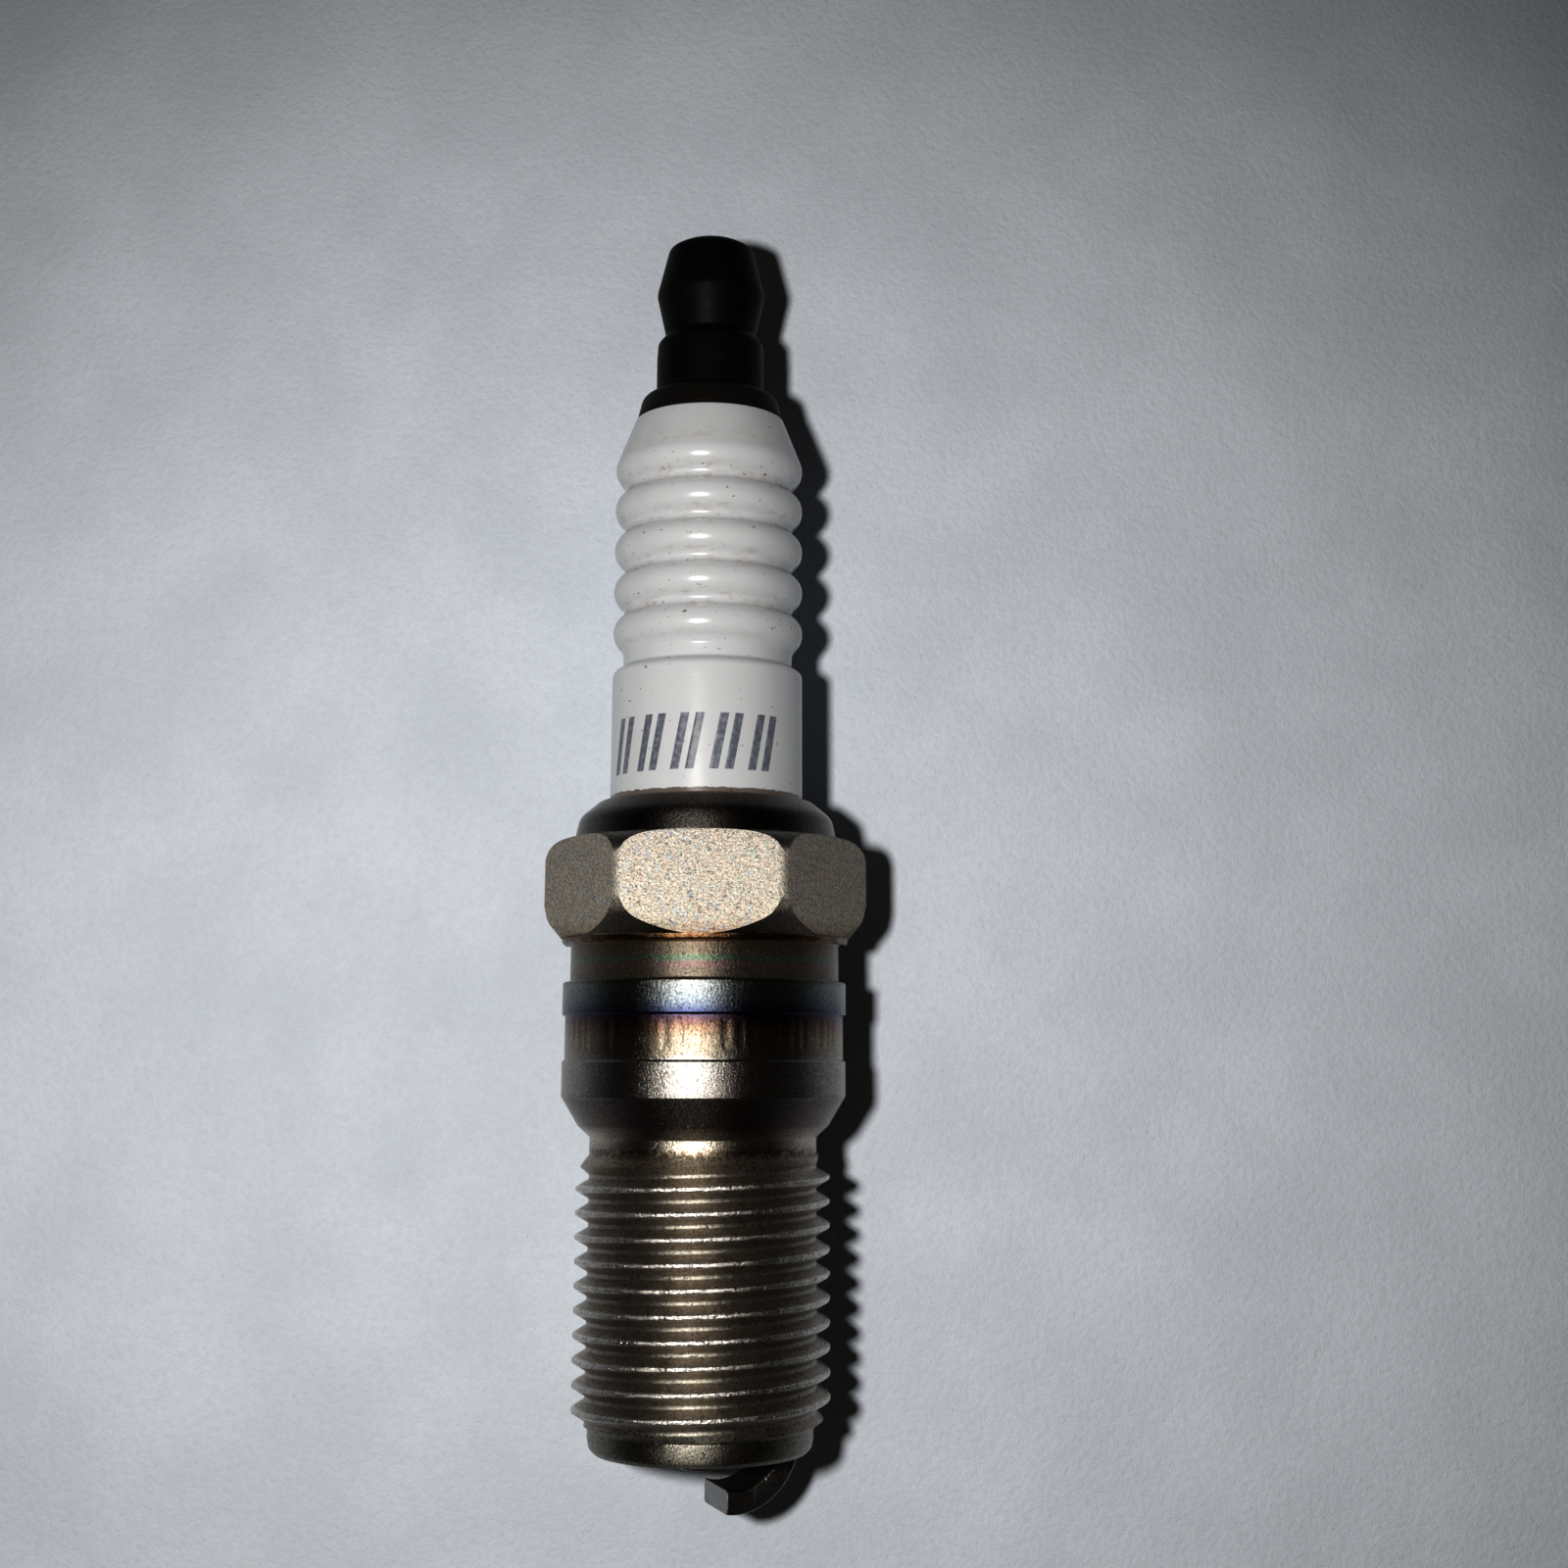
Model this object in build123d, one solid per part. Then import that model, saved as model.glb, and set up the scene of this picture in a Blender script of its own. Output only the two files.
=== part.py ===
"""Spark plug with a conical seat: each physical piece is one solid in one STEP file.

Frame, in millimetres: the plug lies on its side. +Y runs along the plug's axis towards the terminal,
+Z points up, and the origin is on the axis at the large end of the conical seat. The firing end is at
negative Y. Two of the hexagon's flats are level, so the plug rests on the lower one.
The pieces are modelled standing, with the axis along +Z, and laid down together at the end, so a name
that ends in _Y is a height along the plug's axis. Outlines are (radius, height) corners; a third number
rounds that corner.
"""

from build123d import *
from math import asin, cos, radians, sin, sqrt, tan
import os

# thread, seat and hexagon, which have standard sizes
THREAD_PITCH = 1.25
THREAD_CREST_R = 6.93
THREAD_ROOT_R = 6.2
THREAD_ROOT_FLAT = 0.22
THREAD_FLANK = radians(30)
THREAD_CORE_R = 5.6
THREAD_TOP_Y = -2.95
THREAD_BOTTOM_Y = -17.0
THREAD_TURNS = 13
THREAD_GROOVE_Y = -2.37       # height at which the groove's centre ends, on the +X side
HEX_ACROSS_FLATS = 15.875
HEX_CORNER_R = 9.05
HEX_BOTTOM_Y = 8.2
HEX_TOP_Y = 13.9
SEAT_LARGE_R = 7.83
SEAT_HALF_ANGLE = radians(31.5)
SEAT_DEPTH = 1.55

# outside of the metal shell
SHELL_END_Y = -18.2
PILOT_R = 6.03
NECK_R = 6.22
BAND_R = 7.7
UPPER_RING_R = 7.865
CRIMP_GROOVE_R = 7.47
COLLAR_R = 7.42
LIP_TOP_Y = 16.2

# inside of the metal shell
CHAMBER_R = 6.2
LEDGE_R = 4.1
BORE_R = 4.45
LIP_BORE_R = 5.55
LEDGE_TOP_Y = 0.79
CHAMBER_BOTTOM_Y = 2.0
SHOULDER_SLOPE = (CHAMBER_BOTTOM_Y - LEDGE_TOP_Y) / (CHAMBER_R - LEDGE_R)

# ceramic insulator
BARREL_R = 5.45
RIB_R = 5.46
RIB_CREST_RADIUS = 1.15
RIB_GROOVE_RADIUS = 0.4
RIB_PITCH = 2.44
RIB_COUNT = 5
FIRST_RIB_Y = 25.81
WIDE_GROOVE_R = 4.85
WIDE_GROOVE_Y = 23.81          # lower edge of its floor
CERAMIC_TOP_Y = 38.65
CERAMIC_TOP_R = 4.3
FLANGE_R = 6.1
NOSE_TIP_Y = -18.3
NOSE_TIP_R = 2.3
STUD_BORE_R = 2.0
ELECTRODE_BORE_R = 1.32
BORE_STEP_Y = 1.65

# sealing and packing between the shell and the insulator
GASKET_THICKNESS = 0.35
PACKING_WIRE_R = 0.36
PACKING_RING_R = (BARREL_R + CHAMBER_R) / 2
LOWER_PACKING_Y = 10.7
UPPER_PACKING_Y = 14.75

# conductor through the insulator, from the terminal down
STUD_R = 1.97                 # M4 thread, modelled at its outer radius
STUD_SHANK_R = 1.7
STUD_ANCHOR_R = 1.85
STUD_COLLAR_R = 2.75
STUD_COLLAR_H = 0.8
STUD_TOP_Y = 47.9
STUD_BOTTOM_Y = 9.8
UPPER_SEAL_TOP_Y = 12.8
RESISTOR_TOP_Y = 8.2
RESISTOR_BOTTOM_Y = 4.0
ELECTRODE_HEAD_R = 1.85
ELECTRODE_HEAD_TOP_Y = 2.4
ELECTRODE_R = 1.28
ELECTRODE_TIP_Y = -19.05
CORE_R = 0.78
CORE_BOTTOM_Y = -14.0

# terminal nut, screwed onto the stud
TERMINAL_COLLAR_R = 3.175     # a 1/4 inch terminal
NUT_BOTTOM_Y = CERAMIC_TOP_Y + 0.05
NUT_TOP_Y = 49.95
NUT_RUNNING_GAP = 0.06

# ground electrode, a bent strap welded to the shell's end
STRAP_WIDTH = 2.6
STRAP_THICKNESS = 1.2
STRAP_BEND_R = 3.8            # outer face
STRAP_BEND_CENTRE_R = 1.7     # how far the bend's centre is from the plug's axis
STRAP_OUTER_Y = -21.25
STRAP_END_R = 0.95            # the strap stops this far short of the axis
STRAP_ANGLE = 30              # turned from +X towards the underside
STRAP_EDGE_R = 0.18
WELD_DEPTH = 0.25


def outline(corners):
    """Closed face beside the axis through the corners, each rounded by its third number if it has one."""
    points = [corner[:2] for corner in corners]
    rounding = [corner[2] if len(corner) == 3 else 0 for corner in corners]
    return Plane.XZ * make_face(FilletPolyline(*points, radius=rounding, close=True))


def turned(corners):
    """Solid of revolution about the plug's axis."""
    return revolve(outline(corners), axis=Axis.Z)


def tube(inner_r, outer_r, bottom_y, top_y):
    return turned([(inner_r, bottom_y), (outer_r, bottom_y), (outer_r, top_y), (inner_r, top_y)])


def thread_groove():
    """Right-hand groove: a trapezoid with 60 degree flanks swept along a helix that ends on the +X side."""
    outside_r = THREAD_CREST_R + 0.15
    root_half = THREAD_ROOT_FLAT / 2
    outside_half = root_half + (outside_r - THREAD_ROOT_R) * tan(THREAD_FLANK)
    profile = Plane.XZ * make_face(
        Polyline(
            (THREAD_ROOT_R, -root_half),
            (outside_r, -outside_half),
            (outside_r, outside_half),
            (THREAD_ROOT_R, root_half),
            close=True,
        )
    )
    height = THREAD_TURNS * THREAD_PITCH
    path = Helix(pitch=THREAD_PITCH, height=height, radius=THREAD_ROOT_R)
    groove = sweep(profile, path=path, is_frenet=True)
    return Pos(0, 0, THREAD_GROOVE_Y - height) * groove


def thread():
    """Threaded sleeve: a grooved rod, longer than the thread, trimmed to a blank with bevelled ends.

    The blank is turned so that its seam is clear of the rod's seam and of the groove's ends.
    """
    rod = tube(THREAD_CORE_R, THREAD_CREST_R, THREAD_BOTTOM_Y - 4, THREAD_TOP_Y + 3)
    blank = turned(
        [
            (THREAD_CORE_R - 0.3, THREAD_BOTTOM_Y),
            (PILOT_R, THREAD_BOTTOM_Y),
            (THREAD_CREST_R, THREAD_BOTTOM_Y + 0.65),
            (THREAD_CREST_R, THREAD_TOP_Y - 1.15),
            (NECK_R, THREAD_TOP_Y),
            (THREAD_CORE_R - 0.3, THREAD_TOP_Y),
        ]
    )
    return (rod - thread_groove()) & blank.rotate(Axis.Z, 133)


def hexagon():
    """Wrench hexagon with level flats, its corners rounded at the top and bevelled at the bottom."""
    flats = RegularPolygon(HEX_ACROSS_FLATS / 2, 6, major_radius=False)
    prism = Pos(0, 0, HEX_BOTTOM_Y) * extrude(flats, HEX_TOP_Y - HEX_BOTTOM_Y)
    inside_wall_r = (CHAMBER_R + COLLAR_R) / 2
    bevel = turned(
        [
            (inside_wall_r, HEX_BOTTOM_Y),
            (7.97, HEX_BOTTOM_Y),
            (7.97, HEX_BOTTOM_Y + 0.22),
            (8.82, HEX_BOTTOM_Y + 1.22, 1.5),
            (HEX_CORNER_R, HEX_BOTTOM_Y + 2.2, 1.0),
            (HEX_CORNER_R, HEX_TOP_Y, 1.25),
            (7.6, HEX_TOP_Y),
            (inside_wall_r, HEX_TOP_Y),
        ]
    )
    return prism & bevel


def metal_shell(strap):
    seat_small_r = SEAT_LARGE_R - SEAT_DEPTH * tan(SEAT_HALF_ANGLE)
    body = turned(
        [
            (LIP_BORE_R, LIP_TOP_Y - 0.45),
            (LIP_BORE_R, LIP_TOP_Y, 0.2),
            (6.05, LIP_TOP_Y - 0.15, 0.4),
            (7.14, LIP_TOP_Y - 1.05, 1.0),
            (COLLAR_R, HEX_TOP_Y - 0.4),
            (COLLAR_R, HEX_BOTTOM_Y),
            (CRIMP_GROOVE_R, HEX_BOTTOM_Y),
            (CRIMP_GROOVE_R, 6.1, 0.12),
            (UPPER_RING_R, 6.1, 0.1),
            (UPPER_RING_R, 4.35, 0.1),
            (BAND_R, 4.25),
            (BAND_R, 1.95),
            (SEAT_LARGE_R, 1.85, 0.1),
            (SEAT_LARGE_R, 0),
            (seat_small_r, -SEAT_DEPTH, 0.15),
            (NECK_R, -2.15, 0.15),
            (NECK_R, THREAD_TOP_Y),
            (THREAD_CORE_R + 0.2, THREAD_TOP_Y),
            (THREAD_CORE_R + 0.2, THREAD_BOTTOM_Y),
            (PILOT_R, THREAD_BOTTOM_Y),
            (PILOT_R, SHELL_END_Y + 0.7),
            (5.93, SHELL_END_Y + 0.22, 0.1),
            (5.7, SHELL_END_Y),
            (BORE_R + 0.12, SHELL_END_Y),
            (BORE_R, SHELL_END_Y + 0.12),
            (BORE_R, -1.6),
            (LEDGE_R, -1.2),
            (LEDGE_R, LEDGE_TOP_Y),
            (CHAMBER_R, CHAMBER_BOTTOM_Y),
            (CHAMBER_R, 14.9),
            (5.65, 15.45),
        ]
    )
    return body + thread() + hexagon() - strap


def rib_edges():
    """Ribbed part of the insulator's outline, upwards: crest arcs joined by smaller groove arcs."""
    reach = RIB_CREST_RADIUS + RIB_GROOVE_RADIUS
    crest_centre_r = RIB_R - RIB_CREST_RADIUS
    groove_centre_r = crest_centre_r + sqrt(reach**2 - (RIB_PITCH / 2) ** 2)
    groove_r = groove_centre_r - RIB_GROOVE_RADIUS
    turn = asin(RIB_PITCH / 2 / reach)
    join_r = crest_centre_r + RIB_CREST_RADIUS * cos(turn)
    join_dy = RIB_CREST_RADIUS * sin(turn)
    edges = []
    for index in range(RIB_COUNT):
        y = FIRST_RIB_Y + index * RIB_PITCH
        last = index == RIB_COUNT - 1
        top = (crest_centre_r + RIB_CREST_RADIUS * cos(turn / 2), y + RIB_CREST_RADIUS * sin(turn / 2))
        end = top if last else (join_r, y + join_dy)
        edges.append(ThreePointArc((join_r, y - join_dy), (RIB_R, y), end))
        if not last:
            next_join = (join_r, y + RIB_PITCH - join_dy)
            edges.append(ThreePointArc(end, (groove_r, y + RIB_PITCH / 2), next_join))
    return edges


def insulator():
    ribs = rib_edges()
    first, last = ribs[0] @ 0, ribs[-1] @ 1
    flange_bottom_y = LEDGE_TOP_Y + (FLANGE_R - LEDGE_R) * SHOULDER_SLOPE + GASKET_THICKNESS
    nose_root_r = LEDGE_R - 0.2
    nose_root_y = flange_bottom_y - (FLANGE_R - nose_root_r) * SHOULDER_SLOPE
    upper = FilletPolyline(
        last,
        (CERAMIC_TOP_R + 0.04, CERAMIC_TOP_Y),
        (STUD_BORE_R, CERAMIC_TOP_Y),
        (STUD_BORE_R, BORE_STEP_Y),
        (ELECTRODE_BORE_R, BORE_STEP_Y - 0.65),
        (ELECTRODE_BORE_R, NOSE_TIP_Y),
        (NOSE_TIP_R, NOSE_TIP_Y),
        (3.5, -4.0),
        (3.8, -1.5),
        (nose_root_r, nose_root_y),
        (FLANGE_R, flange_bottom_y),
        (FLANGE_R, 9.95),
        (BARREL_R, 10.55),
        (BARREL_R, WIDE_GROOVE_Y - 0.35),
        (WIDE_GROOVE_R, WIDE_GROOVE_Y),
        (WIDE_GROOVE_R, WIDE_GROOVE_Y + 0.75),
        first,
        radius=[0.25, 0.15, 0, 0, 0, 0.3, 2, 0, 0.3, 0.3, 0.2, 0.2, 0.45, 0.2, 0.3],
    )
    return revolve(Plane.XZ * make_face([*ribs, *upper.edges()]), axis=Axis.Z)


def seat_gasket():
    """Conical washer that seals the insulator's lower shoulder against the shell's ledge."""
    inner_r, outer_r = LEDGE_R + 0.2, CHAMBER_R - 0.3
    inner_y = LEDGE_TOP_Y + (inner_r - LEDGE_R) * SHOULDER_SLOPE
    outer_y = LEDGE_TOP_Y + (outer_r - LEDGE_R) * SHOULDER_SLOPE
    return turned(
        [
            (inner_r, inner_y),
            (outer_r, outer_y),
            (outer_r, outer_y + GASKET_THICKNESS),
            (inner_r, inner_y + GASKET_THICKNESS),
        ]
    )


def packing_ring(y):
    return Pos(0, 0, y) * Torus(PACKING_RING_R, PACKING_WIRE_R)


def talc_packing():
    bottom_y = LOWER_PACKING_Y + PACKING_WIRE_R
    return tube(BARREL_R, CHAMBER_R, bottom_y, UPPER_PACKING_Y - PACKING_WIRE_R)


def terminal_nut():
    bore_r = STUD_R + NUT_RUNNING_GAP
    counterbore_r = STUD_COLLAR_R + 0.1
    counterbore_top_y = CERAMIC_TOP_Y + STUD_COLLAR_H + 0.1
    bore_top_y = STUD_TOP_Y + 0.4
    return turned(
        [
            (0, NUT_TOP_Y),
            (1.7, NUT_TOP_Y - 0.1, 2.0),
            (2.52, NUT_BOTTOM_Y + 10.65, 0.5),
            (3.22, NUT_BOTTOM_Y + 7.78, 0.8),
            (2.66, NUT_BOTTOM_Y + 5.24, 0.08),
            (3.12, NUT_BOTTOM_Y + 4.65, 0.4),
            (TERMINAL_COLLAR_R, NUT_BOTTOM_Y + 3.7, 0.6),
            (TERMINAL_COLLAR_R, NUT_BOTTOM_Y + 1.68, 0.06),
            (3.98, NUT_BOTTOM_Y + 1.23, 0.7),
            (4.25, NUT_BOTTOM_Y + 0.1),
            (4.15, NUT_BOTTOM_Y),
            (counterbore_r, NUT_BOTTOM_Y),
            (counterbore_r, counterbore_top_y),
            (bore_r, counterbore_top_y),
            (bore_r, bore_top_y),
            (0, bore_top_y + 0.6),
        ]
    )


def terminal_stud():
    collar_top_y = CERAMIC_TOP_Y + STUD_COLLAR_H
    return turned(
        [
            (0, STUD_BOTTOM_Y),
            (STUD_ANCHOR_R - 0.3, STUD_BOTTOM_Y),
            (STUD_ANCHOR_R, STUD_BOTTOM_Y + 0.3),
            (STUD_ANCHOR_R, UPPER_SEAL_TOP_Y),
            (STUD_SHANK_R, UPPER_SEAL_TOP_Y),
            (STUD_SHANK_R, CERAMIC_TOP_Y),
            (STUD_COLLAR_R, CERAMIC_TOP_Y),
            (STUD_COLLAR_R, collar_top_y, 0.1),
            (STUD_R, collar_top_y),
            (STUD_R, STUD_TOP_Y - 0.4),
            (STUD_R - 0.4, STUD_TOP_Y),
            (0, STUD_TOP_Y),
        ]
    )


def upper_glass_seal():
    return turned(
        [
            (0, RESISTOR_TOP_Y),
            (STUD_BORE_R, RESISTOR_TOP_Y),
            (STUD_BORE_R, UPPER_SEAL_TOP_Y),
            (STUD_ANCHOR_R, UPPER_SEAL_TOP_Y),
            (STUD_ANCHOR_R, STUD_BOTTOM_Y + 0.3),
            (STUD_ANCHOR_R - 0.3, STUD_BOTTOM_Y),
            (0, STUD_BOTTOM_Y),
        ]
    )


def suppressor_resistor():
    return turned(
        [
            (0, RESISTOR_BOTTOM_Y),
            (STUD_BORE_R, RESISTOR_BOTTOM_Y),
            (STUD_BORE_R, RESISTOR_TOP_Y),
            (0, RESISTOR_TOP_Y),
        ]
    )


def lower_glass_seal():
    return turned(
        [
            (0, ELECTRODE_HEAD_TOP_Y),
            (ELECTRODE_HEAD_R, ELECTRODE_HEAD_TOP_Y),
            (ELECTRODE_HEAD_R, BORE_STEP_Y + 0.1),
            (STUD_BORE_R, BORE_STEP_Y + 0.1),
            (STUD_BORE_R, RESISTOR_BOTTOM_Y),
            (0, RESISTOR_BOTTOM_Y),
        ]
    )


def center_electrode():
    """Nickel sheath, open at its head, with a blind hole that holds the copper core."""
    neck_y = BORE_STEP_Y - 0.6
    return turned(
        [
            (0, ELECTRODE_TIP_Y),
            (ELECTRODE_R, ELECTRODE_TIP_Y, 0.12),
            (ELECTRODE_R, neck_y),
            (ELECTRODE_HEAD_R, BORE_STEP_Y),
            (ELECTRODE_HEAD_R, ELECTRODE_HEAD_TOP_Y),
            (CORE_R, ELECTRODE_HEAD_TOP_Y),
            (CORE_R, CORE_BOTTOM_Y),
            (0, CORE_BOTTOM_Y),
        ]
    )


def center_electrode_core():
    return turned(
        [
            (0, CORE_BOTTOM_Y),
            (CORE_R, CORE_BOTTOM_Y),
            (CORE_R, ELECTRODE_HEAD_TOP_Y),
            (0, ELECTRODE_HEAD_TOP_Y),
        ]
    )


def ground_electrode():
    """Flat strap: its leg starts inside the weld and bends round until it ends under the electrode."""
    weld_y = SHELL_END_Y + WELD_DEPTH
    bend = Circle(STRAP_BEND_R) - Circle(STRAP_BEND_R - STRAP_THICKNESS)
    bend = Pos(STRAP_BEND_CENTRE_R, STRAP_OUTER_Y + STRAP_BEND_R) * bend
    kept = Pos(STRAP_END_R, STRAP_OUTER_Y) * Rectangle(
        2 * STRAP_BEND_R, weld_y - STRAP_OUTER_Y, align=(Align.MIN, Align.MIN)
    )
    strap = extrude(Plane.XZ * (bend & kept), STRAP_WIDTH / 2, both=True)
    long_edges = [
        edge
        for edge in strap.edges()
        if abs(abs(edge.center().Y) - STRAP_WIDTH / 2) < 1e-6
        and edge.center().Z < weld_y - 0.1
        and edge.center().X > STRAP_END_R + 0.1
    ]
    strap = fillet(long_edges, STRAP_EDGE_R)
    return strap.rotate(Axis.Z, STRAP_ANGLE)


def build():
    strap = ground_electrode()
    return {
        "terminal_nut": terminal_nut(),
        "terminal_stud": terminal_stud(),
        "insulator": insulator(),
        "metal_shell": metal_shell(strap),
        "upper_packing_ring": packing_ring(UPPER_PACKING_Y),
        "talc_packing": talc_packing(),
        "lower_packing_ring": packing_ring(LOWER_PACKING_Y),
        "seat_gasket": seat_gasket(),
        "upper_glass_seal": upper_glass_seal(),
        "suppressor_resistor": suppressor_resistor(),
        "lower_glass_seal": lower_glass_seal(),
        "center_electrode": center_electrode(),
        "center_electrode_core": center_electrode_core(),
        "ground_electrode": strap,
    }


os.makedirs("parts", exist_ok=True)
for node, shape in build().items():
    lying = shape.rotate(Axis.X, -90)
    export_step(lying, f"parts/{node}.step")
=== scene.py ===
"""Looks of the spark plug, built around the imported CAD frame.

The visible pieces are turned or swept from outlines in millimetres, in the frame of the CAD: +Y runs along
the plug's axis towards the terminal and +Z points up. An outline is a list of (radius, height along Y)
corners, and a third number rounds that corner. Angles about the axis start at +Z and grow towards +X.
"""

from math import asin, atan2, ceil, cos, floor, pi, radians, sin, sqrt, tan

import bmesh
import bpy
import numpy as np
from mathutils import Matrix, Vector, noise


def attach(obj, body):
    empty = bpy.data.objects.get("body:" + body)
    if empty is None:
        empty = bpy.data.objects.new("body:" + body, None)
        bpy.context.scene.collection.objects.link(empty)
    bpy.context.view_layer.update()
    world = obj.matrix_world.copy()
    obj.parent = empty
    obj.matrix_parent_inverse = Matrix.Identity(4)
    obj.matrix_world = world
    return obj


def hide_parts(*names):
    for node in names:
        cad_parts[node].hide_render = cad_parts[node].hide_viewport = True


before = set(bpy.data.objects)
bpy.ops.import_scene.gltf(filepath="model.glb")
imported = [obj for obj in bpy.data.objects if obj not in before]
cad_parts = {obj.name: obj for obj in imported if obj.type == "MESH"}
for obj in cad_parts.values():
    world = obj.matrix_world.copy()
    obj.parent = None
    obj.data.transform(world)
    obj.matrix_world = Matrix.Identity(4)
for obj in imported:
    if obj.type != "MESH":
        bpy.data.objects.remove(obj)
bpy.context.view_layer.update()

MM = 0.001

# thread, seat and hexagon
THREAD_PITCH = 1.25
THREAD_CREST_R = 6.93
THREAD_ROOT_R = 6.2
THREAD_CREST_FLAT = 0.187
THREAD_TOP_Y = -2.95
THREAD_BOTTOM_Y = -17.0
THREAD_CREST_Y = -3.3075     # a crest's height on the +Z side
HEX_INRADIUS = 7.9375
HEX_CORNER_R = 9.05
HEX_BOTTOM_Y = 8.2
HEX_TOP_Y = 13.9
HEX_LIP_R = 7.97
SEAT_LARGE_R = 7.83
SEAT_SMALL_R = 6.88
SEAT_DEPTH = 1.55

# metal shell
SHELL_END_Y = -18.2
PILOT_R = 6.03
NECK_R = 6.22
BAND_R = 7.7
RING_R = 7.865
GROOVE_R = 7.47
COLLAR_R = 7.42
LIP_TOP_Y = 16.2
CHAMBER_R = 6.2
LEDGE_R = 4.1
BORE_R = 4.45
LIP_BORE_R = 5.55

# insulator
BARREL_R = 5.45
RIB_R = 5.46
RIB_CREST_RADIUS = 1.15
RIB_GROOVE_RADIUS = 0.4
RIB_PITCH = 2.44
RIB_COUNT = 5
FIRST_RIB_Y = 25.81
WIDE_GROOVE_R = 4.85
WIDE_GROOVE_Y = 23.81
CERAMIC_TOP_Y = 38.65

# terminal and stud
NUT_BOTTOM_Y = 38.7
NUT_TOP_Y = 49.95
STUD_TOP_Y = 47.9
STUD_THREAD_PITCH = 0.7

# ground electrode
STRAP_WIDTH = 2.6
STRAP_THICKNESS = 1.2
STRAP_BEND_R = 3.8
STRAP_BEND_CENTRE = (1.7, -17.45)
STRAP_END_R = 0.95
STRAP_ROOT_Y = -17.95
STRAP_TURN = radians(120)   # its leg stands this far from +Z towards +X
STRAP_TWIST = 0.11           # slope across its width at the tip

# bars on the barrel
BAR_PAIRS = 5
BAR_HEIGHT = 3.1
BAR_WIDTH = 0.5
BAR_SLANT = 0.3              # each end leans this far from the middle
BAR_RAISED = 0.018
BAR_BASE_Y = 17.4
FIRST_BAR_LEFT = -6.0        # along the barrel's surface, from its front line
BAR_PAIR_PITCH = 2.2
BAR_PAIR_GAP = 0.85

# pressed strokes in the band, in degrees round the plug
STROKE_GROUPS = (-57, -33, -8, 16, 40, 61)
STROKES_IN_GROUP = (-6, 0, 4.5)
STROKE_DEPTH = 0.032
STROKE_MIDDLE_Y = 3.25
STROKE_HALF_LENGTH = 0.82

# floor, lamp and camera, in metres
FLOOR_Z = -HEX_INRADIUS * MM
FLOOR_HALF = 1.5
LAMP_PLACE = (-0.021, 0.0075, 0.125)
LAMP_AIM = (0.12, -0.01, -1)
LAMP_RADIUS = 0.0045
CAMERA_PLACE = (0.00423, 0.00177, 0.12544)
CAMERA_TURN = (0.2408, -0.0016, 0.0011)

STEPS_ROUND = 240
PHI = np.arange(STEPS_ROUND + 1) * 2 * pi / STEPS_ROUND
COLUMNS = len(PHI)           # the last column meets the first, and the two are merged


# ---------------------------------------------------------------- outlines and meshes

def rounded(corners, arc_step=radians(9)):
    """Points of an open outline, with an arc at each corner that has a radius."""
    points = [Vector(corner[:2]) for corner in corners]
    out = [points[0]]
    for index in range(1, len(points) - 1):
        here = points[index]
        radius = corners[index][2] if len(corners[index]) == 3 else 0
        before = (points[index - 1] - here).normalized()
        after = (points[index + 1] - here).normalized()
        opening = before.angle(after)
        if radius == 0 or opening > pi - 1e-4:
            out.append(here)
            continue
        reach = radius / tan(opening / 2)
        centre = here + (before + after).normalized() * (radius / sin(opening / 2))
        start = here + before * reach - centre
        end = here + after * reach - centre
        first = atan2(start.y, start.x)
        sweep = (atan2(end.y, end.x) - first + pi) % (2 * pi) - pi
        steps = max(2, round((pi - opening) / arc_step))
        for step in range(steps + 1):
            angle = first + sweep * step / steps
            out.append(centre + Vector((cos(angle), sin(angle))) * radius)
    out.append(points[-1])
    return [(p.x, p.y) for p in out]


def divided(points, longest):
    """The same outline with no stretch longer than that."""
    out = [points[0]]
    for (r0, y0), (r1, y1) in zip(points, points[1:]):
        length = sqrt((r1 - r0) ** 2 + (y1 - y0) ** 2)
        pieces = max(1, int(length / longest + 0.999))
        for piece in range(1, pieces + 1):
            share = piece / pieces
            out.append((r0 + (r1 - r0) * share, y0 + (y1 - y0) * share))
    return out


def turned_rows(points):
    """One row of (radius, height) arrays for each point of an outline, the same all round."""
    return [(np.full(COLUMNS, r), np.full(COLUMNS, y)) for r, y in points]


def mesh_piece(name, vertices, faces, body, sharp=radians(32)):
    """Object from vertices in millimetres, with doubles merged, normals outward and smooth shading."""
    mesh = bpy.data.meshes.new(name)
    mesh.from_pydata([tuple(v) for v in np.asarray(vertices) * MM], [], faces)
    work = bmesh.new()
    work.from_mesh(mesh)
    bmesh.ops.remove_doubles(work, verts=work.verts, dist=1e-7)
    bmesh.ops.dissolve_degenerate(work, edges=work.edges, dist=1e-8)
    bmesh.ops.recalc_face_normals(work, faces=work.faces)
    work.to_mesh(mesh)
    work.free()
    mesh.shade_smooth()
    mesh.set_sharp_from_angle(angle=sharp)
    piece = bpy.data.objects.new(name, mesh)
    bpy.context.scene.collection.objects.link(piece)
    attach(piece, body)
    return piece


def turned_piece(name, rows, body, closed=False, every=1):
    """Surface through rows of (radius, height) arrays; closed joins the last row to the first.

    A small piece can use only one column of every few.
    """
    phi = PHI[::every]
    columns = len(phi)
    vertices = []
    for r, y in rows:
        vertices.extend(zip(r[::every] * np.sin(phi), y[::every], r[::every] * np.cos(phi)))
    faces = []
    for row in range(len(rows) if closed else len(rows) - 1):
        upper = row * columns
        lower = (row + 1) % len(rows) * columns
        for column in range(columns - 1):
            faces.append((upper + column, upper + column + 1, lower + column + 1, lower + column))
    return mesh_piece(name, vertices, faces, body)


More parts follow.
